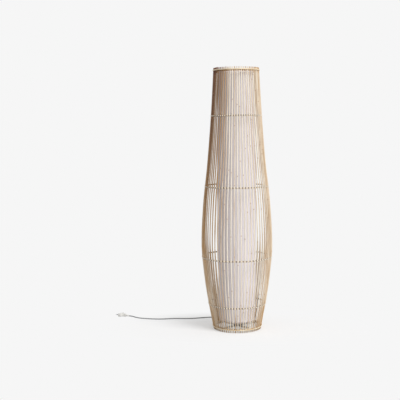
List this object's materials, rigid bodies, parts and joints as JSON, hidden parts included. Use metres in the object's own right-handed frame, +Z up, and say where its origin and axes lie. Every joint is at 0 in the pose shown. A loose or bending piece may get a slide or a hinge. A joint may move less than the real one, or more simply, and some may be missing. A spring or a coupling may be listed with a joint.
{
  "type": "rattan floor lamp",
  "caption": "Tall floor lamp: a barrel cage of upright rattan canes with twined rows, round a white fabric shade on a steel stem, with a corded switch and plug.",
  "frame": {"origin": "On the floor under the middle of the cage.", "axes": "+Z is up along the stem, -Y is the front and +X is to the right seen from the front. The cord leaves at the back, +Y."},
  "size_m": [0.7724, 0.4348, 1.2],
  "materials": {
    "rattan_cane": "natural round rattan cane, satin, with nodes",
    "rattan_peel": "pale split rattan peel, satin",
    "shade_fabric": "white woven shade cloth on a stiff backing",
    "white_steel": "white powder coat",
    "zinc_steel": "zinc-plated or nickel-plated steel",
    "brass": "bare brass",
    "white_plastic": "moulded white plastic",
    "ceramic": "glazed white insulating block",
    "opal": "opal bulb dome",
    "cord_grey": "grey cord jacket"
  },
  "bodies": {
    "lamp": {"cane_cage": "rattan_cane", "foot_outer_hoop": "rattan_peel", "top_outer_hoop": "rattan_peel", "top_inner_hoop": "rattan_peel", "foot_row_strand_a": "rattan_peel", "foot_row_strand_b": "rattan_peel", "belly_row_strand_a": "rattan_peel", "belly_row_strand_b": "rattan_peel", "waist_row_strand_a": "rattan_peel", "waist_row_strand_b": "rattan_peel", "top_row_strand_a": "rattan_peel", "top_row_strand_b": "rattan_peel", "foot_frame_ring": "white_steel", "foot_frame_cross": "white_steel", "foot_binding_1": "rattan_peel", "foot_binding_2": "rattan_peel", "foot_binding_3": "rattan_peel", "foot_binding_4": "rattan_peel", "stem": "white_steel", "stem_lower_nut": "zinc_steel", "stem_washer": "zinc_steel", "stem_upper_nut": "zinc_steel", "stem_strain_relief": "cord_grey", "stem_lead": "cord_grey", "holder_cap": "white_plastic", "holder_locknut": "zinc_steel", "holder_shell": "white_plastic", "holder_insert": "ceramic", "holder_contact": "brass", "holder_screw_sleeve": "brass", "shade_retaining_ring": "white_plastic", "shade_carrier": "white_steel", "shade_fabric": "shade_fabric", "shade_top_wire": "white_steel", "shade_bottom_wire": "white_steel", "cord_to_switch": "cord_grey", "switch_relief_lamp_side": "cord_grey", "switch_base": "white_plastic", "switch_cover": "white_plastic", "switch_relief_plug_side": "cord_grey", "cord_to_coil": "cord_grey", "cord_coil": "cord_grey", "cord_to_plug": "cord_grey", "plug_relief": "white_plastic", "plug_body": "white_plastic", "plug_pin_1": "zinc_steel", "plug_pin_2": "zinc_steel"},
    "bulb": {"bulb_cap": "zinc_steel", "bulb_globe": "opal"},
    "rocker": {"switch_rocker": "white_plastic"}
  },
  "joints": [
    {"name": "bulb_lift", "type": "slide", "parent": "lamp", "child": "bulb", "axis": [0, 0, 1], "range_m": [0, 0.6]},
    {"name": "switch_rock", "type": "hinge", "parent": "lamp", "child": "rocker", "pos_m": [0, 0.171, 0.01169], "axis": [1, 0, 0], "range_deg": [0, 16]}
  ]
}
